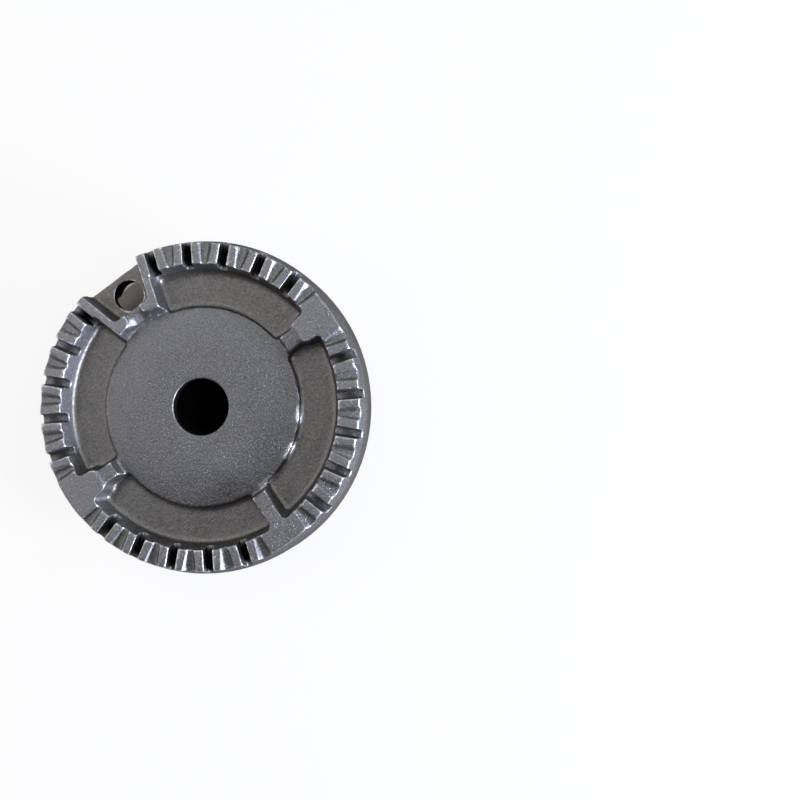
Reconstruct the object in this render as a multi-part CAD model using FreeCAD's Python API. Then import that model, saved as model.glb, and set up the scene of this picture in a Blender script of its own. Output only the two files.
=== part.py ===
import FreeCAD, Part
import math
import os

# Gas burner cap, die-cast in aluminium as one piece.
# The crown of flame ports faces up, the hub hangs below, and the igniter pocket points along +Y.
# The origin is on the bore axis, at the end of the hub. Lengths are millimetres, angles degrees.

# Heights, from the hub end upwards
hub_drop = 7.5             # hub end below the seating rim
rim_depth = 5.4            # seating rim below the underside of the floor
floor_thickness = 2.3      # floor of the gas channels
channel_depth = 5.2        # top of the crown above the channel floor
disc_edge_height = 1.5     # rim of the central disc above the channel floor
dome_rise = 0.9            # flat middle of the central disc above the disc's rim
recess_depth = 1.3         # hollow under the central disc

# Radii and widths, from the outside inwards
flange_radius = 37.1       # widest circle, at the parting line
crown_taper = 0.9          # the crown narrows by this much from the parting line to its top
skirt_taper = 0.35         # the skirt narrows by this much from the parting line to its rim
rim_width = 2.95           # flat seating face under the skirt
skirt_inner_taper = 1.2    # the skirt's inner wall leans in by this much up to the floor
crown_width = 4.7          # crown from its outer to its inner edge, at the top
crown_lean = 1.25          # the crown's inner wall leans in by this much down to the channel floor
channel_width = 7.9        # gas channel from the crown to the disc, at the floor
dome_flat = 9.3            # width of the domed edge around the flat middle of the disc
tip_setback = 1.7          # tops of the arms end this far outside the rim of the disc
tip_lean = 0.9             # lean of the arms' end faces
recess_setback = 2.8       # step of the underside hollow, inside the rim of the disc
recess_step_lean = 0.4

# Hub and bore
bore_radius = 6.25
bore_chamfer = 0.25
hub_wall = 1.3
spigot_length = 4.5        # straight part at the end of the hub
hub_flare = 0.9            # the hub widens by this much up to the floor

# Flame ports, in four equal groups between the four arms
arm_count = 4
ports_per_group = 5
port_pitch = 14.0
port_depth = 3.3
port_width = 1.75          # at the floor of the port
port_draft = 3.0
port_corner = 0.3
groove_inner_depth = 0.5   # shallow grooves between the ports widen and deepen outwards
groove_outer_depth = 1.05
groove_inner_width = 0.9
groove_outer_width = 1.7
groove_draft = 38.0
groove_corner = 0.15

# Gas channels
channel_draft = 8.0        # walls of the arms and of the disc
channel_corner = 1.1
channel_floor_fillet = 0.55

# Plain arms: two broad ones beside the igniter and a slim one opposite it
broad_root_half = 3.05     # half width where the broad arm joins the crown
broad_neck_half = 2.6      # half width just before it narrows
slim_half = 1.55           # half width of the slim arm and of the broad arms' tips
neck_length = 3.4          # the broad part of the arm, inwards from the crown
neck_slope = 1.5           # length over which it narrows
tip_length = 3.4           # lowered pad at the tip of each plain arm
tip_step = 0.35
tip_slope = 9.0

# Igniter pocket
pocket_end_wall = 2.35     # wall between the pocket and the plenum, at the top
pocket_wall = 1.65         # side walls, at the top
pocket_half = 4.75         # half width of the pocket at its inner end
pocket_flare = 16.5        # each side wall turns away from the pocket's centre line by this angle
pocket_drop = 1.6          # pocket floor below the channel floor
pocket_draft = 4.0
pocket_corner = 1.3
pocket_floor_fillet = 0.5
pocket_mouth_flat = 1.3    # the flange is cut back by this much across the pocket's mouth
mouth_fade_slope = 2.0     # fall over run of the slope in which that flat ends below the pocket
pocket_boss_height = 1.5   # boss under the pocket
pocket_boss_reach = 1.5    # the boss runs this far inside the pocket's end wall
notch_width = 3.7          # groove that feeds gas over the end wall to the igniter
notch_depth = 0.8
notch_run = 1.2            # level part of the groove, from the pocket to where the chute starts
chute_half = 1.2           # half width of the chute from the groove down to the plenum
chute_slope = 45.0
chute_flare = 53.0         # lean of the chute's sides
igniter_radius = 3.4
igniter_from_flange = 6.1  # centre of the igniter hole, inside the flange
igniter_relief = 0.3       # the skirt is cut back around the hole, by this much beyond it

# Ribs and ejector pads of the underside
rib_draft = 4.0
low_rib_width = 2.3
low_rib_height = 1.6
tall_rib_width = 1.9
tall_rib_mid_height = 3.2
tall_rib_hub_height = 5.1
rib_step_outer = 13.9      # first step of a tall rib, inside the flange
rib_step_inner = 18.3      # second step of a tall rib, inside the flange
ejector_radius = 2.55
ejector_mark_depth = 0.2
rib_pad_from_hub = 7.9     # centre of a rib's round pad, outside the hub's end
rib_pad_lift = 0.2
key_pad_half = 3.1
key_pad_height = 1.0
key_pad_draft = 12.0
key_pad_from_flange = 9.1  # centre of a pad's round end, inside the flange
key_pad_end_flat = 0.06    # half of the short straight left at a pad's round end
key_pad_foot_round = 0.7   # corners of a pad inside the skirt

# Edge rounding
rim_round = 0.5
rim_inner_round = 0.45
flange_round = 0.45
crown_round = 0.3
tip_round = 0.35
hub_end_round = 0.4
hub_root_fillet = 2.2
floor_edge_fillet = 0.9
recess_round = 0.4

# Directions
igniter_angle = 90.0
broad_arm_angles = (0.0, 180.0)
slim_arm_angle = 270.0
tall_rib_angles = (90.0, 210.0, 330.0)
low_rib_angles = (30.0, 150.0, 270.0)
key_pad_angles = (0.0, 60.0, 120.0, 180.0, 240.0, 300.0)

# How the solids are made
margin = 1.0               # cutting tools run this far past the metal
sink = 0.5                 # added ribs, pads and bosses run this far into the metal
fillet_steps = 2           # stretches in the rounded edge of a hollow's floor

# Places that follow from the sizes above
rim_z = hub_drop
under_z = rim_z + rim_depth
floor_z = under_z + floor_thickness
top_z = floor_z + channel_depth
parting_z = floor_z
disc_edge_z = floor_z + disc_edge_height
crown_outer = flange_radius - crown_taper
crown_inner = crown_outer - crown_width
rim_outer = flange_radius - skirt_taper
rim_inner = rim_outer - rim_width
skirt_inner_top = rim_inner - skirt_inner_taper
channel_lean = math.tan(math.radians(channel_draft))
channel_outer = crown_inner - crown_lean
disc_foot = channel_outer - channel_width
disc_radius = disc_foot - disc_edge_height * channel_lean
tip_radius = disc_radius + tip_setback
recess_radius = disc_radius - recess_setback
hub_radius = bore_radius + hub_wall
hub_root_radius = hub_radius + hub_flare
pocket_end = tip_radius + pocket_end_wall
pocket_floor_z = floor_z - pocket_drop
boss_z = under_z - pocket_boss_height
igniter_distance = flange_radius - igniter_from_flange
dome_start = disc_radius - dome_flat
rib_inner_end = bore_radius + hub_wall / 2
skirt_middle = rim_inner + rim_width / 2


def vec(x, y, z=0.0):
    return FreeCAD.Vector(x, y, z)


def polar(radius, angle):
    return vec(radius * math.cos(math.radians(angle)), radius * math.sin(math.radians(angle)))


def turned(shape, angle):
    """A copy of the shape, turned about the bore axis."""
    copy = shape.copy()
    copy.rotate(vec(0, 0, 0), vec(0, 0, 1), angle)
    return copy


def dome_z(radius):
    """Height of the central disc, which is flat in the middle and curves down to its rim."""
    beyond = max(radius - dome_start, 0) / dome_flat
    return disc_edge_z + dome_rise * (1 - beyond ** 2)


def recess_z(radius):
    """Height of the coned hollow under the central disc, which follows the dome."""
    slope = dome_rise / disc_radius
    return under_z + recess_depth + (recess_radius - radius) * slope


# Plan outlines: lines and circles around the bore, joined by rounded corners, with the inside on the left.
# At each level of a hollow or boss its outline is inset, each side by its own lean, which drafts the walls.
class Line:
    def __init__(self, start, end, lean=1.0):
        self.point = start
        self.direction = (end - start).normalize()
        self.normal = vec(-self.direction.y, self.direction.x)
        self.lean = lean

    def inset(self, distance):
        moved = self.point + self.normal * distance
        return Line(moved, moved + self.direction)

    def foot(self, point):
        return self.point + self.direction * (point - self.point).dot(self.direction)

    def edge(self, start, end):
        return Part.LineSegment(start, end).toShape()


class Circle:
    """A circle around the bore. The outline runs counterclockwise where its inside is the circle's."""

    def __init__(self, radius, counterclockwise, lean=1.0):
        self.radius = radius
        self.sign = 1 if counterclockwise else -1
        self.lean = lean

    def inset(self, distance):
        return Circle(self.radius - self.sign * distance, self.sign > 0)

    def foot(self, point):
        return point * (self.radius / point.Length)

    def edge(self, start, end):
        middle = self.foot(start + end)
        return Part.Arc(start, middle, end).toShape()


def crossing(first, second, near):
    """Where two lines, or a line and a circle, cross, nearest to a given point."""
    if isinstance(first, Circle):
        first, second = second, first
    if isinstance(second, Circle):
        middle = first.foot(vec(0, 0))
        reach = math.sqrt(second.radius ** 2 - middle.Length ** 2)
        ends = [middle + first.direction * reach, middle - first.direction * reach]
        return min(ends, key=lambda end: (end - near).Length)
    gap = (second.point - first.point).dot(second.normal)
    return first.point + first.direction * (gap / first.direction.dot(second.normal))


def outline(sides, corners, inset, fillet, z):
    """A closed wire. Corner i joins side i to the next one. A negative radius is an inward corner."""
    level = [side.inset(inset * side.lean + fillet) for side in sides]
    joints = []
    for index, radius in enumerate(corners):
        before = level[index]
        after = level[(index + 1) % len(sides)]
        near = before.point if isinstance(before, Line) else after.point
        centre = crossing(before.inset(radius), after.inset(radius), near)
        start = before.foot(centre)
        end = after.foot(centre)
        bulge = (start - centre) + (end - centre)
        middle = centre + bulge.normalize() * abs(radius)
        joints.append((start, middle, end))
    edges = []
    for index, side in enumerate(level):
        edges.append(side.edge(joints[index - 1][2], joints[index][0]))
        edges.append(Part.Arc(*joints[index]).toShape())
    wire = Part.Wire(edges)
    wire.translate(vec(0, 0, z))
    return wire


def drafted(sides, corners, levels):
    """A solid through (height, inset, fillet) levels of an outline."""
    wires = [outline(sides, corners, inset, fillet, z) for z, inset, fillet in levels]
    return Part.makeLoft(wires, True, True)


def hollow_levels(floor, draft, fillet):
    """Levels of a hollow that is open above the crown's top, with a rounded edge to its floor."""
    lean = math.tan(math.radians(draft))
    levels = []
    for step in range(fillet_steps + 1):
        angle = math.pi / 2 * step / fillet_steps
        height = floor + fillet * (1 - math.cos(angle))
        levels.append((height, (top_z - height) * lean, fillet * (1 - math.sin(angle))))
    return levels + [(top_z + margin, -margin * lean, 0)]


def polygon_sides(points):
    return [Line(point, points[(index + 1) % len(points)]) for index, point in enumerate(points)]


def rounded_path(corners):
    """Edges through (radius, height, rounding) corners of the half section, with each corner rounded."""
    points = [vec(r, 0, z) for r, z, rounding in corners]
    edges = []
    last = points[0]
    for index in range(1, len(points) - 1):
        rounding = corners[index][2]
        corner = points[index]
        back = (points[index - 1] - corner).normalize()
        ahead = (points[index + 1] - corner).normalize()
        if rounding:
            half = back.getAngle(ahead) / 2
            reach = rounding / math.tan(half)
            start = corner + back * reach
            end = corner + ahead * reach
            middle = corner + (back + ahead).normalize() * (rounding / math.sin(half) - rounding)
            edges.append(Part.LineSegment(last, start).toShape())
            edges.append(Part.Arc(start, middle, end).toShape())
            last = end
        else:
            edges.append(Part.LineSegment(last, corner).toShape())
            last = corner
    edges.append(Part.LineSegment(last, points[-1]).toShape())
    return edges


def turned_blank():
    """Hub, floor, skirt, crown and domed disc: everything that is round about the bore."""
    mouth = bore_radius + bore_chamfer
    tip_foot = tip_radius - tip_lean
    path = rounded_path([
        (mouth, dome_z(mouth), 0),
        (bore_radius, dome_z(mouth) - bore_chamfer, 0),
        (bore_radius, 0, 0),
        (hub_radius, 0, hub_end_round),
        (hub_radius, spigot_length, 0),
        (hub_root_radius, recess_z(hub_root_radius), hub_root_fillet),
        (recess_radius, recess_z(recess_radius), recess_round),
        (recess_radius + recess_step_lean, under_z, recess_round),
        (skirt_inner_top, under_z, floor_edge_fillet),
        (rim_inner, rim_z, rim_inner_round),
        (rim_outer, rim_z, rim_round),
        (flange_radius, parting_z, flange_round),
        (crown_outer, top_z, crown_round),
        (tip_radius, top_z, tip_round),
        (tip_foot, dome_z(tip_foot), 0),
    ])
    halfway = (tip_foot + dome_start) / 2
    ends = [vec(radius, 0, dome_z(radius)) for radius in (tip_foot, halfway, dome_start, mouth)]
    path.append(Part.Arc(ends[0], ends[1], ends[2]).toShape())
    path.append(Part.LineSegment(ends[2], ends[3]).toShape())
    section = Part.Face(Part.Wire(path))
    return section.revolve(vec(0, 0, 0), vec(0, 0, 1), 360)


def pocket_side(distance, extra):
    """Half width of the igniter pocket at a distance from the bore, plus its wall if extra is given."""
    flare = math.radians(pocket_flare)
    return pocket_half + (distance - pocket_end) * math.tan(flare) + extra / math.cos(flare)


def arm_flank(angle):
    """Half outline of an arm as (distance from the bore, half width) points, from the crown inwards."""
    root = crown_inner
    if angle == igniter_angle:
        return [(distance, pocket_side(distance, pocket_wall)) for distance in (root, disc_radius)]
    if angle == slim_arm_angle:
        return [(root, slim_half), (disc_radius, slim_half)]
    neck = root - neck_length
    return [(root, broad_root_half), (neck, broad_neck_half),
            (neck - neck_slope, slim_half), (disc_radius, slim_half)]


def flank_sides(angle, left):
    """One flank of an arm as lines, running inwards on the arm's right side and outwards on its left."""
    along = polar(1, angle)
    across = vec(-along.y, along.x) * (1 if left else -1)
    points = [along * distance + across * half for distance, half in arm_flank(angle)]
    if left:
        points.reverse()
    return [Line(start, end) for start, end in zip(points, points[1:])]


def flank_corners(angle, left):
    """Rounding between the lines of a flank: the neck has an inward and an outward corner."""
    if angle in broad_arm_angles:
        return [channel_corner, -channel_corner] if left else [-channel_corner, channel_corner]
    return []


def gas_channel(first_angle):
    """Cutter for the channel from one arm, counterclockwise, to the next."""
    next_angle = (first_angle + 360 / arm_count) % 360
    into = flank_sides(next_angle, False)
    out = flank_sides(first_angle, True)
    crown = Circle(crown_inner, True, crown_lean / (channel_depth * channel_lean))
    disc = Circle(disc_foot - channel_depth * channel_lean, False)
    corners = [channel_corner] + flank_corners(next_angle, False) + [channel_corner]
    corners += [channel_corner] + flank_corners(first_angle, True) + [channel_corner]
    levels = hollow_levels(floor_z, channel_draft, channel_floor_fillet)
    return drafted([crown] + into + [disc] + out, corners, levels)


def slot_cutter(inner, outer, draft, corner):
    """A slot through the crown towards +Y, given its (floor width, depth) at the crown's two edges."""
    lean = math.tan(math.radians(draft))
    wires = []
    for place in (-margin, crown_width + margin):
        share = place / crown_width
        half = (inner[0] + (outer[0] - inner[0]) * share) / 2
        depth = inner[1] + (outer[1] - inner[1]) * share
        wide = half + (depth + margin) * lean
        low = top_z - depth
        high = top_z + margin
        edges = rounded_path([(-wide, high, 0), (-half, low, corner), (half, low, corner), (wide, high, 0)])
        edges.append(Part.LineSegment(vec(wide, 0, high), vec(-wide, 0, high)).toShape())
        wire = Part.Wire(edges)
        wire.translate(vec(0, crown_inner + place, 0))
        wires.append(wire)
    return Part.makeLoft(wires, True, True)


def port_cutters():
    """Deep flame ports, with a shallow groove half way between each two and one at each end of a group."""
    port = slot_cutter((port_width, port_depth), (port_width, port_depth), port_draft, port_corner)
    groove = slot_cutter((groove_inner_width, groove_inner_depth), (groove_outer_width, groove_outer_depth),
                         groove_draft, groove_corner)
    cutters = []
    reach = (ports_per_group - 1) / 2
    for group in range(arm_count):
        centre = igniter_angle + (group + 0.5) * 360 / arm_count
        for index in range(ports_per_group):
            cutters.append(turned(port, centre + (index - reach) * port_pitch - 90))
        for index in range(ports_per_group + 1):
            at_pocket = (group == 0 and index == 0) or (group == arm_count - 1 and index == ports_per_group)
            if not at_pocket:
                cutters.append(turned(groove, centre + (index - reach - 0.5) * port_pitch - 90))
    return cutters


def tip_cutter(angle):
    """Lowers the tip of a plain arm into a small pad that slopes towards the bore."""
    outer = tip_radius + tip_length
    inner = disc_radius - margin
    low = top_z - tip_step
    high = top_z + margin
    fall = (outer - inner) * math.tan(math.radians(tip_slope))
    points = [vec(outer, 0, low), vec(outer, 0, high), vec(inner, 0, high), vec(inner, 0, low - fall)]
    face = Part.Face(Part.makePolygon(points + points[:1]))
    half = broad_root_half + margin
    face.translate(vec(0, -half, 0))
    return turned(face.extrude(vec(0, 2 * half, 0)), angle)


def pocket_cutters():
    """The igniter pocket, the notch and chute in its end wall, the flat across its mouth, and the hole."""
    mouth = flange_radius + margin
    corners_at = [(pocket_end, pocket_side(pocket_end, 0)), (mouth, pocket_side(mouth, 0))]
    (near, near_half), (far, far_half) = corners_at
    plan = [vec(near, -near_half), vec(far, -far_half), vec(far, far_half), vec(near, near_half)]
    levels = hollow_levels(pocket_floor_z, pocket_draft, pocket_floor_fillet)
    cavity = drafted(polygon_sides(plan), [pocket_corner] * 4, levels)

    notch = Part.makeBox(pocket_end - disc_radius + margin, notch_width, notch_depth + margin,
                         vec(disc_radius, -notch_width / 2, top_z - notch_depth))

    lip = pocket_end - notch_run
    down = math.radians(chute_slope)
    reach = lip - tip_radius + tip_lean
    chute_top = reach + margin
    top_half = chute_half + chute_top * math.tan(math.radians(chute_flare))
    section = [vec(0, -chute_half), vec(0, chute_half),
               vec(-chute_top * math.sin(down), top_half, chute_top * math.cos(down)),
               vec(-chute_top * math.sin(down), -top_half, chute_top * math.cos(down))]
    face = Part.Face(Part.makePolygon(section + section[:1]))
    face.translate(vec(lip, 0, top_z - notch_depth))
    chute = face.extrude(vec(-reach, 0, -reach * math.tan(down)))

    flat = flange_radius - pocket_mouth_flat
    high = top_z + margin
    fade_z = pocket_floor_z - pocket_mouth_flat
    fade_end = fade_z - (mouth - flat) * mouth_fade_slope
    points = [vec(flat, 0, high), vec(flat, 0, fade_z), vec(mouth, 0, fade_end), vec(mouth, 0, high)]
    face = Part.Face(Part.makePolygon(points + points[:1]))
    half = pocket_side(flat, 0)
    face.translate(vec(0, -half, 0))
    mouth_flat = face.extrude(vec(0, 2 * half, 0))

    hole = Part.makeCylinder(igniter_radius, top_z, vec(igniter_distance, 0, 0))
    relief = Part.makeCylinder(igniter_radius + igniter_relief, boss_z, vec(igniter_distance, 0, 0))
    return [turned(tool, igniter_angle) for tool in (cavity, notch, chute, mouth_flat, hole, relief)]


def pocket_boss():
    """Keeps the floor's thickness under the igniter pocket."""
    lean = math.tan(math.radians(pocket_draft))
    near = tip_radius - pocket_boss_reach
    far = skirt_middle
    near_half = pocket_side(near, pocket_wall)
    far_half = pocket_side(far, pocket_wall)
    plan = [vec(near, -near_half), vec(far, -far_half), vec(far, far_half), vec(near, near_half)]
    inside = under_z + sink
    levels = [(boss_z, 0, 0), (inside, -(inside - boss_z) * lean, 0)]
    return turned(drafted(polygon_sides(plan), [pocket_corner] * 4, levels), igniter_angle)


def rib(angle, free_edge, width):
    """A drafted rib from hub to skirt, given the (distance, height below the floor) of its free edge."""
    lean = math.tan(math.radians(rib_draft))
    lowest = under_z - max(height for distance, height in free_edge)
    half = width / 2
    wide = half + (dome_z(0) - lowest) * lean
    side = [vec(distance, 0, under_z - height) for distance, height in free_edge]
    side.append(vec(skirt_middle, 0, under_z + sink))
    side.append(vec(recess_radius, 0, under_z + sink))
    side.append(vec(recess_radius, 0, recess_z(recess_radius) + sink))
    side.append(vec(rib_inner_end, 0, recess_z(rib_inner_end) + sink))
    face = Part.Face(Part.makePolygon(side + side[:1]))
    face.translate(vec(0, -wide, 0))
    side_view = face.extrude(vec(0, 2 * wide, 0))

    cross = [vec(rib_inner_end, -half, lowest), vec(rib_inner_end, half, lowest),
             vec(rib_inner_end, wide, dome_z(0)), vec(rib_inner_end, -wide, dome_z(0))]
    face = Part.Face(Part.makePolygon(cross + cross[:1]))
    cross_section = face.extrude(vec(skirt_middle - rib_inner_end, 0, 0))
    return turned(side_view.common(cross_section), angle)


def low_rib(angle):
    """A low rib with a round ejector pad near the hub."""
    bar = rib(angle, [(rib_inner_end, low_rib_height), (skirt_middle, low_rib_height)], low_rib_width)
    distance = hub_radius + rib_pad_from_hub
    low = under_z - low_rib_height - rib_pad_lift
    pad = Part.makeCylinder(ejector_radius, recess_z(distance) + sink - low, vec(distance, 0, low))
    return [bar, turned(pad, angle)]


def tall_rib(angle):
    """A rib that rises in two steps towards the hub."""
    first = flange_radius - rib_step_outer
    second = flange_radius - rib_step_inner
    free_edge = [(rib_inner_end, tall_rib_hub_height), (second, tall_rib_hub_height),
                 (second, tall_rib_mid_height), (first, tall_rib_mid_height),
                 (first, low_rib_height), (skirt_middle, low_rib_height)]
    return rib(angle, free_edge, tall_rib_width)


def key_pad(angle):
    """An ejector pad that runs from the skirt to a round end, with the mark of the ejector pin."""
    lean = math.tan(math.radians(key_pad_draft))
    centre = flange_radius - key_pad_from_flange
    half = key_pad_half
    near = centre - half
    far = skirt_middle
    plan = [vec(near, -half), vec(far, -half), vec(far, half), vec(near, half)]
    low = under_z - key_pad_height
    inside = under_z + sink
    end_round = half - key_pad_end_flat
    corners = [key_pad_foot_round, key_pad_foot_round, end_round, end_round]
    levels = [(low, 0, 0), (inside, -(inside - low) * lean, 0)]
    pad = drafted(polygon_sides(plan), corners, levels)
    mark = Part.makeCylinder(ejector_radius, ejector_mark_depth, vec(centre, 0, low))
    return turned(pad.cut(mark), angle)


def burner_cap():
    """The whole casting."""
    body = turned_blank()
    arms = sorted((igniter_angle, slim_arm_angle) + broad_arm_angles)
    body = body.cut([gas_channel(angle) for angle in arms])
    body = body.cut([tip_cutter(angle) for angle in broad_arm_angles + (slim_arm_angle,)])
    body = body.cut(port_cutters())
    added = [pocket_boss()]
    for angle in low_rib_angles:
        added += low_rib(angle)
    added += [tall_rib(angle) for angle in tall_rib_angles]
    added += [key_pad(angle) for angle in key_pad_angles]
    body = body.fuse(added)
    body = body.cut(pocket_cutters())
    return body.removeSplitter().Solids[0]


os.makedirs("parts", exist_ok=True)
cap = burner_cap()
cap.exportStep("parts/burner_cap.step")
print("solids", len(cap.Solids), "valid", cap.isValid(), "volume", round(cap.Volume, 1))
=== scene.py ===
"""Looks of a die-cast gas burner cap: its softened casting, its bead-blasted finish and a studio for it."""

import math

import bmesh
import bpy
import numpy as np
from mathutils import Matrix, Vector
from mathutils.bvhtree import BVHTree


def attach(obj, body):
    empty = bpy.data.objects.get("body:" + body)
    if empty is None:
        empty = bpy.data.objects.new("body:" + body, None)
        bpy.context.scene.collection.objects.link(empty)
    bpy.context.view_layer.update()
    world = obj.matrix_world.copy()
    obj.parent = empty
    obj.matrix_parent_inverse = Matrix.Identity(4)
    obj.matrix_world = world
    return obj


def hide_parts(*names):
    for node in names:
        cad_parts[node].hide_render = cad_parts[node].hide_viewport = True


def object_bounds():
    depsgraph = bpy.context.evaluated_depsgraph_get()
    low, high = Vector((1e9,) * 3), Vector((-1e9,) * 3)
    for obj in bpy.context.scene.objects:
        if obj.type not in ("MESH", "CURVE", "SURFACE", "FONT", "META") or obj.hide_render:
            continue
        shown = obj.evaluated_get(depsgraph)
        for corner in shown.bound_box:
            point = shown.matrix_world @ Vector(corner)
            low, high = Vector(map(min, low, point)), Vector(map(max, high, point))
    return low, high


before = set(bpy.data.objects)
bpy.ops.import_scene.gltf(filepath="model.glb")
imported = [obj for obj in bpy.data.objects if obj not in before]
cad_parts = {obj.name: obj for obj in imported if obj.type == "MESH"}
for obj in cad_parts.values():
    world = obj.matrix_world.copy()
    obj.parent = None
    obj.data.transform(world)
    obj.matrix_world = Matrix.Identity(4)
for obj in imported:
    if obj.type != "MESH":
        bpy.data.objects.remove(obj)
CAD_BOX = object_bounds()

bl_info = {
    "name": "Gas burner cap",
    "version": (1, 0, 0),
    "blender": (4, 5, 0),
    "location": "View3D > Sidebar > Burner cap",
    "description": "Dresses the die-cast burner cap and lights it on a pale floor",
    "category": "Object",
}

BODY = "root"
NODE = "burner_cap"
SLOT = "cast_aluminium"
MILLIMETRE = 0.001
MERGE_REACH = 0.001 * MILLIMETRE

# Shape of the casting, as its wear, its painted highlights and its painted shade follow it
SHARP_BEND = 2200.0                     # turns per metre of a fully rubbed edge
DISC_RIM = 22.1 * MILLIMETRE            # radius of the rim of the domed disc
CHANNEL_INSIDE = 22.5 * MILLIMETRE      # the walls of the gas channels stand beyond this radius
CROWN_INSIDE = 30.9 * MILLIMETRE        # the flame slots lie beyond this radius
SKIRT_MIDDLE = 35.2 * MILLIMETRE        # radius between the two faces of the skirt
UNDER_FLOOR = 13.2 * MILLIMETRE         # height between the two faces of the floor
# Middle of each hole whose walls get painted black shade, and how far from it they are looked for
HOLES = ((0.0, 0.0, 6.4 * MILLIMETRE), (0.0, 31.0 * MILLIMETRE, 3.9 * MILLIMETRE))
RIM_BAND = 0.8 * MILLIMETRE             # reach of the painted highlight patches to each side of the disc's rim
LIT_RIM_SIDE = (0.5, -0.87)                # side of the rim where the key light falls and the highlights are painted
LIT_RIM_PATCHES = 16                       # painted highlight patches, if they went all round the rim
LIT_RIM_SHARE = 0.6                        # as bright as an edge of this sharpness
LIT_SLOTS_AXIS = (0.82, -0.57)              # the slots at both ends of this axis, along which the key light runs, get less painted shade
LIT_SLOTS_SHARE = 0.25                      # and by this share less

# Finish of the casting, with heights in millimetres
HEIGHT_SPAN = 25.0                      # more than the casting's height
CHANNEL_HEIGHTS = (15.25, 16.75)        # browner below, plain above
SEAT_HEIGHTS = (20.0, 20.25)            # plain below, rubbed by a lid above
COARSE_PER_MM = 0.9
BLOTCHES_PER_MM = 0.11
SPECKS_PER_GRAIN = 1.3
PAINTED_GLINT_SHARE = 0.13
SEAT_SHARE = 0.08
RUBBED_SHARE = 0.8
# rougher where the black shade is painted
RECESS_SHADE_ROUGHNESS = 0.45
EDGE_TINT = (0.5, 0.5, 0.5, 1.0)        # dulls the skin where it is seen edge-on

# Floor around the casting, with places in millimetres: a brown painted shadow under it, painted black shade
# in the middle
FLOOR_SHADE_BLACK = (0.004, 0.004, 0.004)
SHADOW_BROWN = (0.242, 0.21, 0.187)
FLOOR_SPAN = 100.0
GROUND_MIDDLE = (-1.5, 1.5, 0.0)
GROUND_REACH = (35.0, 36.4)             # painted shadow within, pale floor beyond
SHADOW_BROWN_REACH = (20.0, 26.0)              # painted black shade within, painted brown shadow beyond
MIRRORED_MIDDLE = (-7.0, 10.0, 0.0)     # middle of the floor that reflections show as dark
MIRRORED_REACH = (50.0, 85.0)           # dark within, white beyond
MIRRORED_LEAST = 0.04                   # share of white that reflections show within
MIRRORED_SHADOW_BROWN = 0.47                   # share of the painted brown shadow that reflections show
WHITE_SHARE = 0.88                      # the rest of the floor's look comes from the lamps
FLOOR_GAP = 0.02 * MILLIMETRE
ROUND_STEPS = 96
LAMP_AIM = (0.0, 0.0, 0.015)
# Name, degrees above the floor, degrees from the picture's right, width and height, watts, colour
LAMPS = (
    ("key", 12, -20, (0.24, 0.09), 11.0, (0.74, 0.8, 1.0)),
    ("key_side", 12, 5, (0.24, 0.09), 1.7, (0.75, 0.8, 1.0)),
    ("right", 58, 0, (0.28, 0.28), 0.98, (0.97, 0.97, 1.0)),
    ("left_back", 58, 120, (0.28, 0.28), 0.94, (0.94, 0.96, 1.0)),
    ("left", 58, 180, (0.28, 0.28), 0.55, (0.84, 0.86, 1.0)),
    ("left_side", 34, 180, (0.28, 0.28), 0.46, (1.0, 0.98, 0.87)),
    ("left_low", 14, 180, (0.28, 0.28), 0.52, (1.0, 0.8, 0.86)),
    ("back_low", 34, 60, (0.28, 0.28), 0.92, (0.9, 0.96, 1.0)),
)


class CastingSettings(bpy.types.PropertyGroup):
    """Sizes of the softened casting."""

    cell: bpy.props.FloatProperty(
        name="Cell", description="Cell of the even mesh that the casting is rebuilt from",
        default=0.2 * MILLIMETRE, min=0.1 * MILLIMETRE, precision=5, unit="LENGTH")
    soft_passes: bpy.props.IntProperty(
        name="Softening", description="Smoothing passes that round the cast edges", default=6, min=0)
    # the rim that these passes round is where the highlight patches are painted
    foot_passes: bpy.props.IntProperty(
        name="Foot softening", description="More passes for the foot of the channel walls and the worn rim",
        default=40, min=0)
    ripple_height: bpy.props.FloatProperty(
        name="Ripple height", description="Depth of the slow unevenness that the die leaves",
        default=0.05 * MILLIMETRE, precision=6, unit="LENGTH")
    ripple_size: bpy.props.FloatProperty(
        name="Ripple size", description="Width of that unevenness",
        default=1.6 * MILLIMETRE, precision=5, unit="LENGTH")
    triangles: bpy.props.IntProperty(
        name="Triangles", description="Most triangles in the finished casting", default=190000, min=1000)
    sight_rays: bpy.props.IntProperty(
        name="Sight rays", description="Rays that measure how enclosed a spot is", default=16, min=1)
    sight_reach: bpy.props.FloatProperty(
        name="Sight reach", description="Walls further off than this don't enclose a spot",
        default=7 * MILLIMETRE, precision=4, unit="LENGTH")


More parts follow.
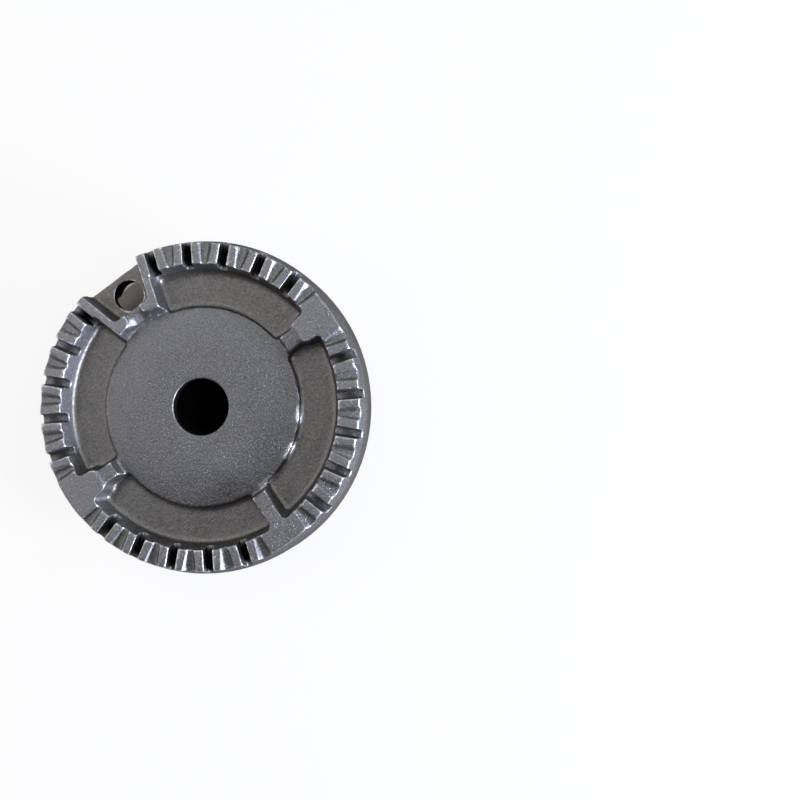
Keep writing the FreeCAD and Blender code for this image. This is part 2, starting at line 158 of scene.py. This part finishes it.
class FinishSettings(bpy.types.PropertyGroup):
    """Colours and grain of the cast aluminium."""

    skin: bpy.props.FloatVectorProperty(
        name="Cast skin", description="Grey of the bead-blasted skin", subtype="COLOR",
        default=(0.2, 0.199, 0.2), min=0, max=1)
    baked: bpy.props.FloatVectorProperty(
        name="Baked skin", description="Browner grey of the channel floors", subtype="COLOR",
        default=(0.198, 0.188, 0.174), min=0, max=1)
    underside: bpy.props.FloatVectorProperty(
        name="Underside", description="Paler grey of the side that the ejector pins push", subtype="COLOR",
        default=(0.38, 0.38, 0.378), min=0, max=1)
    # this bright metal stands for wear, and also for painted highlights on edges, in glints and on the lit
    # rim
    worn: bpy.props.FloatVectorProperty(
        name="Worn edge", description="Bright metal where edges are rubbed", subtype="COLOR",
        default=(0.8, 0.8, 0.81), min=0, max=1)
    # painted shade: black put in the flame slots and on the walls of the holes, where shade falls
    recess_shade: bpy.props.FloatVectorProperty(
        name="Painted_shade", description="Black of the flame slots and of the walls of the holes", subtype="COLOR",
        default=(0.012, 0.0115, 0.011), min=0, max=1)
    roughness: bpy.props.FloatProperty(
        name="Roughness", description="Roughness of the skin", subtype="FACTOR", default=0.5, min=0, max=1)
    grain_per_mm: bpy.props.FloatProperty(
        name="Grain", description="Blasting dents per millimetre", default=2.4, min=0)
    grain_height: bpy.props.FloatProperty(
        name="Grain height", description="Depth of the blasting dents",
        default=0.08 * MILLIMETRE, precision=6, unit="LENGTH")


class StageSettings(bpy.types.PropertyGroup):
    """Camera, floor and lights."""

    camera_place: bpy.props.FloatVectorProperty(
        name="Camera", description="Place of the camera", subtype="TRANSLATION", unit="LENGTH",
        default=(0.069486, -0.057916, 0.328003), precision=4)
    camera_aim: bpy.props.FloatVectorProperty(
        name="Aim", description="Point in the middle of the picture", subtype="TRANSLATION", unit="LENGTH",
        default=(0.037451, -0.025036, 0.0204), precision=4)
    camera_roll: bpy.props.FloatProperty(
        name="Roll", description="Angle from +Y to the picture's up direction, seen from above",
        subtype="ANGLE", default=math.radians(35.34))
    camera_angle: bpy.props.FloatProperty(
        name="Field of view", description="Angle that the picture takes in", subtype="ANGLE",
        default=math.radians(30.905))
    floor_colour: bpy.props.FloatVectorProperty(
        name="Floor", description="Colour of the floor and the backdrop", subtype="COLOR",
        default=(0.86, 0.86, 0.86), min=0, max=1)
    floor_radius: bpy.props.FloatProperty(
        name="Floor radius", description="From the middle of the floor to the backdrop",
        default=2.9, unit="LENGTH")
    backdrop_height: bpy.props.FloatProperty(
        name="Backdrop height", description="Height of the round backdrop", default=0.85, unit="LENGTH")
    room: bpy.props.FloatVectorProperty(
        name="Room", description="Dim light from all round", subtype="COLOR",
        default=(0.02, 0.02, 0.02), min=0, max=1)
    lamp_distance: bpy.props.FloatProperty(
        name="Lamp distance", description="From each lamp to the casting", default=0.7, unit="LENGTH")


class Value:
    """A shader socket that takes part in sums. Each sum adds a Math node."""

    def __init__(self, finish, socket):
        self.finish = finish
        self.socket = socket

    def __add__(self, other):
        return self.finish.sum("ADD", self, other)

    def __radd__(self, other):
        return self.finish.sum("ADD", other, self)

    def __sub__(self, other):
        return self.finish.sum("SUBTRACT", self, other)

    def __rsub__(self, other):
        return self.finish.sum("SUBTRACT", other, self)

    def __mul__(self, other):
        return self.finish.sum("MULTIPLY", self, other)

    def __rmul__(self, other):
        return self.finish.sum("MULTIPLY", other, self)


class Finish:
    """The node tree of a material or of the world."""

    def __init__(self, owner):
        owner.use_nodes = True
        self.owner = owner
        self.tree = owner.node_tree
        self.tree.nodes.clear()

    def node(self, kind, settings, sockets, output=0):
        """Adds a node, sets it, fills its sockets by name or place, and returns one of its outputs."""
        node = self.tree.nodes.new(kind)
        for name, setting in settings.items():
            if name == "stops":
                self.set_stops(node.color_ramp, setting)
            else:
                setattr(node, name, setting)
        for key, given in sockets.items():
            if isinstance(given, Value):
                self.tree.links.new(given.socket, node.inputs[key])
            else:
                node.inputs[key].default_value = given
        return Value(self, node.outputs[output]) if node.outputs else None

    @staticmethod
    def set_stops(ramp, stops):
        while len(ramp.elements) < len(stops):
            ramp.elements.new(1.0)
        for element, (place, grey) in zip(ramp.elements, stops):
            element.position = place
            element.color = (grey, grey, grey, 1.0)

    def sum(self, operation, first, second):
        return self.node("ShaderNodeMath", {"operation": operation}, {0: first, 1: second})

    def mix(self, share, first, second):
        """A colour between two others."""
        return self.node("ShaderNodeMix", {"data_type": "RGBA"}, {0: share, 6: first, 7: second}, 2)

    def tinted(self, first, second):
        """One colour times another."""
        settings = {"data_type": "RGBA", "blend_type": "MULTIPLY"}
        return self.node("ShaderNodeMix", settings, {0: 1.0, 6: first, 7: second}, 2)

    def grey(self, value):
        return self.node("ShaderNodeCombineColor", {}, {0: value, 1: value, 2: value})

    def ramp(self, value, *stops):
        return self.node("ShaderNodeValToRGB", {"stops": stops}, {"Fac": value})

    def fade(self, length, span, *stops):
        """A grey that follows a length up to a span. The places of its stops are lengths too."""
        return self.ramp(length * (1 / span), *((place / span, grey) for place, grey in stops))

    def noise(self, place, per_mm, detail):
        sockets = {"Vector": place, "Scale": per_mm, "Detail": detail}
        return self.node("ShaderNodeTexNoise", {}, sockets, "Fac")

    def millimetres(self):
        """Places on the object, in millimetres."""
        place = self.node("ShaderNodeTexCoord", {}, {}, "Object")
        settings = {"operation": "SCALE"}
        return self.node("ShaderNodeVectorMath", settings, {0: place, "Scale": 1 / MILLIMETRE})

    def distance(self, place, point):
        return self.node("ShaderNodeVectorMath", {"operation": "DISTANCE"}, {0: place, 1: point}, "Value")

    def attribute(self, name):
        return self.node("ShaderNodeAttribute", {"attribute_name": name}, {}, "Fac")


def colour(shade):
    return (*shade, 1.0)


def cast_aluminium(settings):
    """Bead-blasted casting: fine dents, slow blotches, edges brightened by wear and by painted highlights,
    painted glints, and painted black shade in the slots and holes.
    """
    finish = Finish(bpy.data.materials.new(SLOT))
    place = finish.millimetres()
    edge = finish.attribute("edge")
    hollow = finish.attribute("hollow")
    enclosed = finish.attribute("enclosed")
    under = finish.attribute("under")

    grain = finish.noise(place, settings.grain_per_mm, 2.0)
    coarse = finish.noise(place, COARSE_PER_MM, 2.0)
    blotch = finish.noise(place, BLOTCHES_PER_MM, 4.0)
    speck = finish.noise(place, SPECKS_PER_GRAIN * settings.grain_per_mm, 0.0)
    # glint: bright specks, painted into the colour as glints and also raised as bumps
    glint = finish.ramp(speck, (0.62, 0.0), (0.74, 1.0))
    height = finish.node("ShaderNodeSeparateXYZ", {}, {0: place}, "Z")

    # rubbed edges: partly real wear, partly painted highlight
    rubbed = finish.ramp(edge * (0.5 + coarse), (0.3, 0.0), (0.7, 1.0))
    low, high = CHANNEL_HEIGHTS
    baked = finish.fade(height, HEIGHT_SPAN, (low, 1.0), (high, 0.0)) * (1.0 - under)
    # painted shade: black where nearby walls close off the view, and on the walls of the holes
    recess_shade_share = finish.ramp(enclosed * (0.8 + 0.4 * blotch), (0.4, 0.0), (0.54, 1.0))
    low, high = SEAT_HEIGHTS
    seat = finish.fade(height, HEIGHT_SPAN, (low, 0.0), (high, 1.0))
    tone = (1.4 + 0.5 * under) * (grain - 0.5) + 0.3 * blotch + 0.85
    skin = finish.mix(baked, colour(settings.skin), colour(settings.baked))
    skin = finish.mix(under, skin, colour(settings.underside))
    skin = finish.tinted(skin, finish.grey(tone))
    # painted glints on the specks, plus the real wear of the lid seat
    bright = glint * (1.0 - baked) * PAINTED_GLINT_SHARE + SEAT_SHARE * seat
    skin = finish.mix(bright, skin, colour(settings.worn))
    skin = finish.mix(rubbed * RUBBED_SHARE, skin, colour(settings.worn))
    skin = finish.mix(recess_shade_share, skin, colour(settings.recess_shade))

    rough = settings.roughness + 0.12 * (blotch - 0.5) + 0.1 * (grain - 0.5)
    rough = rough - 0.2 * rubbed - 0.15 * hollow + RECESS_SHADE_ROUGHNESS * recess_shade_share
    bumps = grain + 0.35 * coarse + 0.5 * glint * (1.0 - baked)
    dents = finish.node("ShaderNodeBump", {}, {
        "Height": bumps, "Strength": 1.0, "Distance": settings.grain_height})
    shader = finish.node("ShaderNodeBsdfPrincipled", {}, {
        "Base Color": skin, "Metallic": 1.0, "Roughness": rough,
        "Specular Tint": EDGE_TINT, "Normal": dents})
    finish.node("ShaderNodeOutputMaterial", {}, {"Surface": shader})
    return finish.owner


def merged_copy(node):
    """A copy of a solid's mesh, with its loose triangles joined."""
    shape = bmesh.new()
    shape.from_mesh(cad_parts[node].data)
    bmesh.ops.remove_doubles(shape, verts=shape.verts, dist=MERGE_REACH)
    mesh = bpy.data.meshes.new(node + "_casting")
    shape.to_mesh(mesh)
    shape.free()
    return mesh


def softened(mesh, settings):
    """The mesh rebuilt in even cells, with rounded edges and a slight ripple, thinned where it is flat."""
    draft = bpy.data.objects.new("draft", mesh)
    bpy.context.scene.collection.objects.link(draft)
    cells = draft.modifiers.new("cells", "REMESH")
    cells.mode = "VOXEL"
    cells.voxel_size = settings.cell
    soft = draft.modifiers.new("soft", "SMOOTH")
    soft.factor = 0.5
    soft.iterations = settings.soft_passes
    even = evaluated(draft)
    draft.modifiers.clear()
    draft.data = even
    feet = draft.vertex_groups.new(name="feet")
    share = soft_spots(even)
    for tenth in range(1, 11):
        feet.add(np.flatnonzero(np.rint(share * 10) == tenth).tolist(), 0.1 * tenth, "REPLACE")
    round_feet = draft.modifiers.new("round_feet", "SMOOTH")
    round_feet.factor = 0.5
    round_feet.iterations = settings.foot_passes
    round_feet.vertex_group = feet.name
    waves = bpy.data.textures.new("ripple", "CLOUDS")
    waves.noise_scale = settings.ripple_size
    ripple = draft.modifiers.new("ripple", "DISPLACE")
    ripple.texture = waves
    ripple.texture_coords = "LOCAL"
    ripple.strength = settings.ripple_height
    ripple.mid_level = 1.0
    count = sum(len(face.vertices) - 2 for face in even.polygons)
    thin = draft.modifiers.new("thin", "DECIMATE")
    thin.ratio = min(1.0, settings.triangles / count)
    thin.use_collapse_triangulate = True
    result = evaluated(draft)
    bpy.data.objects.remove(draft)
    bpy.data.meshes.remove(even)
    return result


def soft_spots(mesh):
    """1 in the hollows at the foot of the channel walls and on the patches of the disc's rim where
    highlights are painted, fading to 0.
    """
    rate, ends, counts = bend(mesh)
    places = points(mesh, "co")
    radius = np.hypot(places[:, 0], places[:, 1])
    ring = (radius > CHANNEL_INSIDE) & (radius < CROWN_INSIDE)
    hollow = np.where(ring, np.clip(-3 * rate / SHARP_BEND, 0, 1), 0)
    edge = np.clip(3 * rate / SHARP_BEND, 0, 1) * lit_rim_patches(mesh)
    return np.clip(3 * averaged(hollow + edge, ends, counts, 6), 0, 1)


def lit_rim_patches(mesh):
    """Painted highlight patches along the rim of the disc, on the side where the key light falls."""
    places = points(mesh, "co")
    radius = np.hypot(places[:, 0], places[:, 1])
    side = places[:, :2] @ np.array(LIT_RIM_SIDE) / np.maximum(radius, MILLIMETRE)
    patches = 0.5 + np.sin(LIT_RIM_PATCHES * np.arctan2(places[:, 1], places[:, 0]))
    band = 1.5 - np.abs(radius - DISC_RIM) / RIM_BAND
    band[places[:, 2] < UNDER_FLOOR] = 0
    return np.clip(6 * side - 4.2, 0, 1) * np.clip(patches, 0, 1) * np.clip(band, 0, 1)


def evaluated(draft):
    graph = bpy.context.evaluated_depsgraph_get()
    graph.update()
    return bpy.data.meshes.new_from_object(draft.evaluated_get(graph))


def averaged(values, ends, counts, passes):
    """Values of the points, each averaged with its neighbours a few times."""
    for _ in range(passes):
        total = np.bincount(ends[:, 0], values[ends[:, 1]], len(values))
        total += np.bincount(ends[:, 1], values[ends[:, 0]], len(values))
        values = 0.5 * values + 0.5 * total / counts
    return values


def points(mesh, name):
    """A vector of each point of a mesh, such as its place or its normal, as rows."""
    values = np.empty(len(mesh.vertices) * 3)
    mesh.vertices.foreach_get(name, values)
    return values.reshape(-1, 3)


def bend(mesh):
    """How the surface bends at each point, in turns per metre: outward edges are positive."""
    places = points(mesh, "co")
    normals = points(mesh, "normal")
    ends = np.empty(len(mesh.edges) * 2, dtype=np.int64)
    mesh.edges.foreach_get("vertices", ends)
    ends = ends.reshape(-1, 2)
    step = places[ends[:, 1]] - places[ends[:, 0]]
    turn = normals[ends[:, 1]] - normals[ends[:, 0]]
    rate = (step * turn).sum(1) / (step * step).sum(1)
    counts = np.bincount(ends.ravel(), minlength=len(places))
    total = np.bincount(ends[:, 0], rate, len(places)) + np.bincount(ends[:, 1], rate, len(places))
    return averaged(total / counts, ends, counts, 2), ends, counts


def sight_directions(count):
    """Even directions over a half sphere around +Z."""
    golden = math.pi * (3 - math.sqrt(5))
    for index in range(count):
        height = (index + 0.5) / count
        reach = math.sqrt(1 - height * height)
        yield Vector((reach * math.cos(index * golden), reach * math.sin(index * golden), height))


def enclosure(mesh, settings):
    """Share of the view from each point that nearby walls close off."""
    tree = BVHTree.FromPolygons([v.co for v in mesh.vertices], [f.vertices for f in mesh.polygons])
    rays = list(sight_directions(settings.sight_rays))
    shut = np.empty(len(mesh.vertices))
    for index, point in enumerate(mesh.vertices):
        turn = point.normal.to_track_quat("Z", "Y")
        start = point.co + point.normal * settings.cell
        hits = 0
        for ray in rays:
            if tree.ray_cast(start, turn @ ray, settings.sight_reach)[0] is not None:
                hits += 1
        shut[index] = hits / len(rays)
    return shut


def underside(mesh):
    """1 on the side that the ejector pins push, and 0 on the side of the flame ports and outside."""
    places = points(mesh, "co")
    normals = points(mesh, "normal")
    radius = np.hypot(places[:, 0], places[:, 1])
    outward = (places[:, 0] * normals[:, 0] + places[:, 1] * normals[:, 1]) / radius
    below = 0.5 - 1.2 * normals[:, 2] + (UNDER_FLOOR - places[:, 2]) / (2 * MILLIMETRE)
    outside = np.where(radius > SKIRT_MIDDLE, np.clip(1.5 * outward, 0, 1), 0)
    return np.clip(below, 0, 1) * (1 - outside)


def recess_shade_mask(mesh, shut):
    """Painted black shade: how enclosed each spot of the crown is, less in the slots along the key light,
    with 1 on the walls of the holes.
    """
    places = points(mesh, "co")
    lit_slot_end = np.abs(places[:, :2] @ np.array(LIT_SLOTS_AXIS)) / CROWN_INSIDE
    slots = np.hypot(places[:, 0], places[:, 1]) > CROWN_INSIDE
    found = np.where(slots, shut * (1 - LIT_SLOTS_SHARE * lit_slot_end), 0)
    upright = np.clip(2.5 - 4 * np.abs(points(mesh, "normal")[:, 2]), 0, 1)
    for x, y, radius in HOLES:
        near = np.hypot(places[:, 0] - x, places[:, 1] - y) < radius
        found[near] = np.maximum(found, upright)[near]
    return found


def store(mesh, name, values):
    layer = mesh.attributes.new(name, "FLOAT", "POINT")
    layer.data.foreach_set("value", np.clip(values, 0, 1).astype(np.float32))


class BURNERCAP_OT_casting(bpy.types.Operator):
    """Makes the one casting, softened from its solid"""

    bl_idname = "burner_cap.casting"
    bl_label = "Casting"

    def execute(self, context):
        settings = context.scene.burner_cap_casting
        mesh = softened(merged_copy(NODE), settings)
        mesh.name = "casting"
        mesh.polygons.foreach_set("use_smooth", [True] * len(mesh.polygons))
        rate, ends, counts = bend(mesh)
        # edge: how sharp each edge is, plus the painted highlight patches on the lit side of the rim
        store(mesh, "edge", np.maximum(rate / SHARP_BEND, LIT_RIM_SHARE * lit_rim_patches(mesh)))
        store(mesh, "hollow", -rate / SHARP_BEND)
        # the enclosed attribute carries the painted black shade of the slots and holes
        shut = recess_shade_mask(mesh, averaged(enclosure(mesh, settings), ends, counts, 2))
        store(mesh, "enclosed", shut)
        store(mesh, "under", averaged(underside(mesh), ends, counts, 3))
        mesh.materials.clear()
        mesh.materials.append(cast_aluminium(context.scene.burner_cap_finish))
        piece = bpy.data.objects.new("casting", mesh)
        context.scene.collection.objects.link(piece)
        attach(piece, BODY)
        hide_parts(NODE)
        return {"FINISHED"}


def pale_surface(name, shade):
    """White to the eye and in distant reflections, and plain to the rest of the light. Under the casting it
    holds a painted shadow, brown with painted black shade in the middle, which reflections nearer the
    casting show too.
    """
    finish = Finish(bpy.data.materials.new(name))
    seen = [finish.node("ShaderNodeLightPath", {}, {}, kind) for kind in
            ("Is Camera Ray", "Is Glossy Ray", "Is Transmission Ray")]
    place = finish.millimetres()
    under = finish.distance(place, GROUND_MIDDLE)
    near, far = GROUND_REACH
    outside = finish.fade(under, FLOOR_SPAN, (near, 0.0), (far, 1.0))
    near, far = MIRRORED_REACH
    mirrored = finish.distance(place, MIRRORED_MIDDLE)
    afar = finish.fade(mirrored, FLOOR_SPAN, (near, MIRRORED_LEAST), (far, 1.0))
    near, far = SHADOW_BROWN_REACH
    # painted shadow under the casting: black in the middle, brown beyond, dimmer in reflections
    shadow_brown_share = finish.fade(under, FLOOR_SPAN, (near, 0.0), (far, 1.0)) * (1.0 - (1 - MIRRORED_SHADOW_BROWN) * seen[1])
    ground = finish.mix(shadow_brown_share, colour(FLOOR_SHADE_BLACK), colour(SHADOW_BROWN))
    pale = outside * (1.0 - seen[1] * (1.0 - afar))
    plain = finish.node("ShaderNodeBsdfPrincipled", {}, {
        "Base Color": finish.mix(pale, ground, colour(shade)), "Roughness": 1.0, "Specular IOR Level": 0.0})
    white = finish.node("ShaderNodeEmission", {}, {"Color": (1.0, 1.0, 1.0, 1.0), "Strength": 1.0})
    share = (seen[0] * outside + (seen[1] + seen[2]) * afar) * WHITE_SHARE
    mixed = finish.node("ShaderNodeMixShader", {}, {0: share, 1: plain, 2: white})
    finish.node("ShaderNodeOutputMaterial", {}, {"Surface": mixed})
    return finish.owner


def dim_room(shade):
    world = bpy.data.worlds.new("room")
    finish = Finish(world)
    light = finish.node("ShaderNodeBackground", {}, {"Color": colour(shade), "Strength": 1.0})
    finish.node("ShaderNodeOutputWorld", {}, {"Surface": light})
    return world


def facing(place, target, up):
    """Turns something at a place so that its -Z looks at the target and its +Y points up."""
    back = (place - target).normalized()
    right = up.cross(back).normalized()
    turn = Matrix((right, back.cross(right), back)).transposed().to_4x4()
    return Matrix.Translation(place) @ turn


def staged(name, shape, material):
    """Puts a shape of the stage into the scene."""
    mesh = bpy.data.meshes.new(name)
    shape.to_mesh(mesh)
    shape.free()
    mesh.materials.append(material)
    item = bpy.data.objects.new(name, mesh)
    bpy.context.scene.collection.objects.link(item)


def softbox(name, place, size, watts, shade):
    lamp = bpy.data.lights.new(name, "AREA")
    lamp.shape = "RECTANGLE"
    lamp.size, lamp.size_y = size
    lamp.energy = watts
    lamp.color = shade
    box = bpy.data.objects.new(name, lamp)
    box.matrix_world = facing(place, Vector(LAMP_AIM), Vector((0, 0, 1)))
    bpy.context.scene.collection.objects.link(box)


class BURNERCAP_OT_stage(bpy.types.Operator):
    """Sets up the floor, the backdrop, the lights and the camera"""

    bl_idname = "burner_cap.stage"
    bl_label = "Stage"

    def execute(self, context):
        settings = context.scene.burner_cap_stage
        scene = context.scene
        up = Vector((math.sin(settings.camera_roll), math.cos(settings.camera_roll), 0))
        right = Vector((up.y, -up.x, 0))
        radius = settings.floor_radius
        rise = settings.backdrop_height
        ground = Matrix.Translation((0, 0, CAD_BOX[0][2] - FLOOR_GAP))
        middle = ground @ Matrix.Translation((0, 0, rise / 2))
        pale = pale_surface("pale_floor", settings.floor_colour)
        shape = bmesh.new()
        bmesh.ops.create_circle(shape, cap_ends=True, segments=ROUND_STEPS, radius=radius, matrix=ground)
        staged("floor", shape, pale)
        shape = bmesh.new()
        bmesh.ops.create_cone(shape, cap_ends=False, segments=ROUND_STEPS, depth=rise,
                              radius1=radius, radius2=radius, matrix=middle)
        staged("backdrop", shape, pale)

        scene.world = dim_room(settings.room)
        for name, height, turn, size, watts, shade in LAMPS:
            level = right * math.cos(math.radians(turn)) + up * math.sin(math.radians(turn))
            lift = math.radians(height)
            place = level * math.cos(lift) + Vector((0, 0, math.sin(lift)))
            softbox(name, place * settings.lamp_distance, size, watts, shade)

        lens = bpy.data.cameras.new("camera")
        lens.sensor_fit = "HORIZONTAL"
        lens.lens_unit = "FOV"
        lens.angle = settings.camera_angle
        lens.clip_start = 0.01
        camera = bpy.data.objects.new("camera", lens)
        camera.matrix_world = facing(Vector(settings.camera_place), Vector(settings.camera_aim), up)
        scene.collection.objects.link(camera)
        scene.camera = camera
        scene.view_settings.view_transform = "Standard"
        return {"FINISHED"}


class BURNERCAP_PT_panel(bpy.types.Panel):
    """Lists the pieces and their sizes"""

    bl_idname = "BURNERCAP_PT_panel"
    bl_label = "Burner cap"
    bl_space_type = "VIEW_3D"
    bl_region_type = "UI"
    bl_category = "Burner cap"

    def draw(self, context):
        layout = self.layout
        for name, operator in (("casting", "casting"), ("finish", None), ("stage", "stage")):
            settings = getattr(context.scene, "burner_cap_" + name)
            box = layout.box()
            for prop in settings.bl_rna.properties:
                if prop.identifier not in ("rna_type", "name"):
                    box.prop(settings, prop.identifier)
            if operator:
                box.operator("burner_cap." + operator)


CLASSES = (CastingSettings, FinishSettings, StageSettings,
           BURNERCAP_OT_casting, BURNERCAP_OT_stage, BURNERCAP_PT_panel)
GROUPS = {"burner_cap_casting": CastingSettings, "burner_cap_finish": FinishSettings,
          "burner_cap_stage": StageSettings}


def register():
    for item in CLASSES:
        bpy.utils.register_class(item)
    for name, group in GROUPS.items():
        setattr(bpy.types.Scene, name, bpy.props.PointerProperty(type=group))


def unregister():
    for name in GROUPS:
        delattr(bpy.types.Scene, name)
    for item in reversed(CLASSES):
        bpy.utils.unregister_class(item)


def main():
    register()
    bpy.ops.burner_cap.casting()
    bpy.ops.burner_cap.stage()


if __name__ == "__main__":
    main()
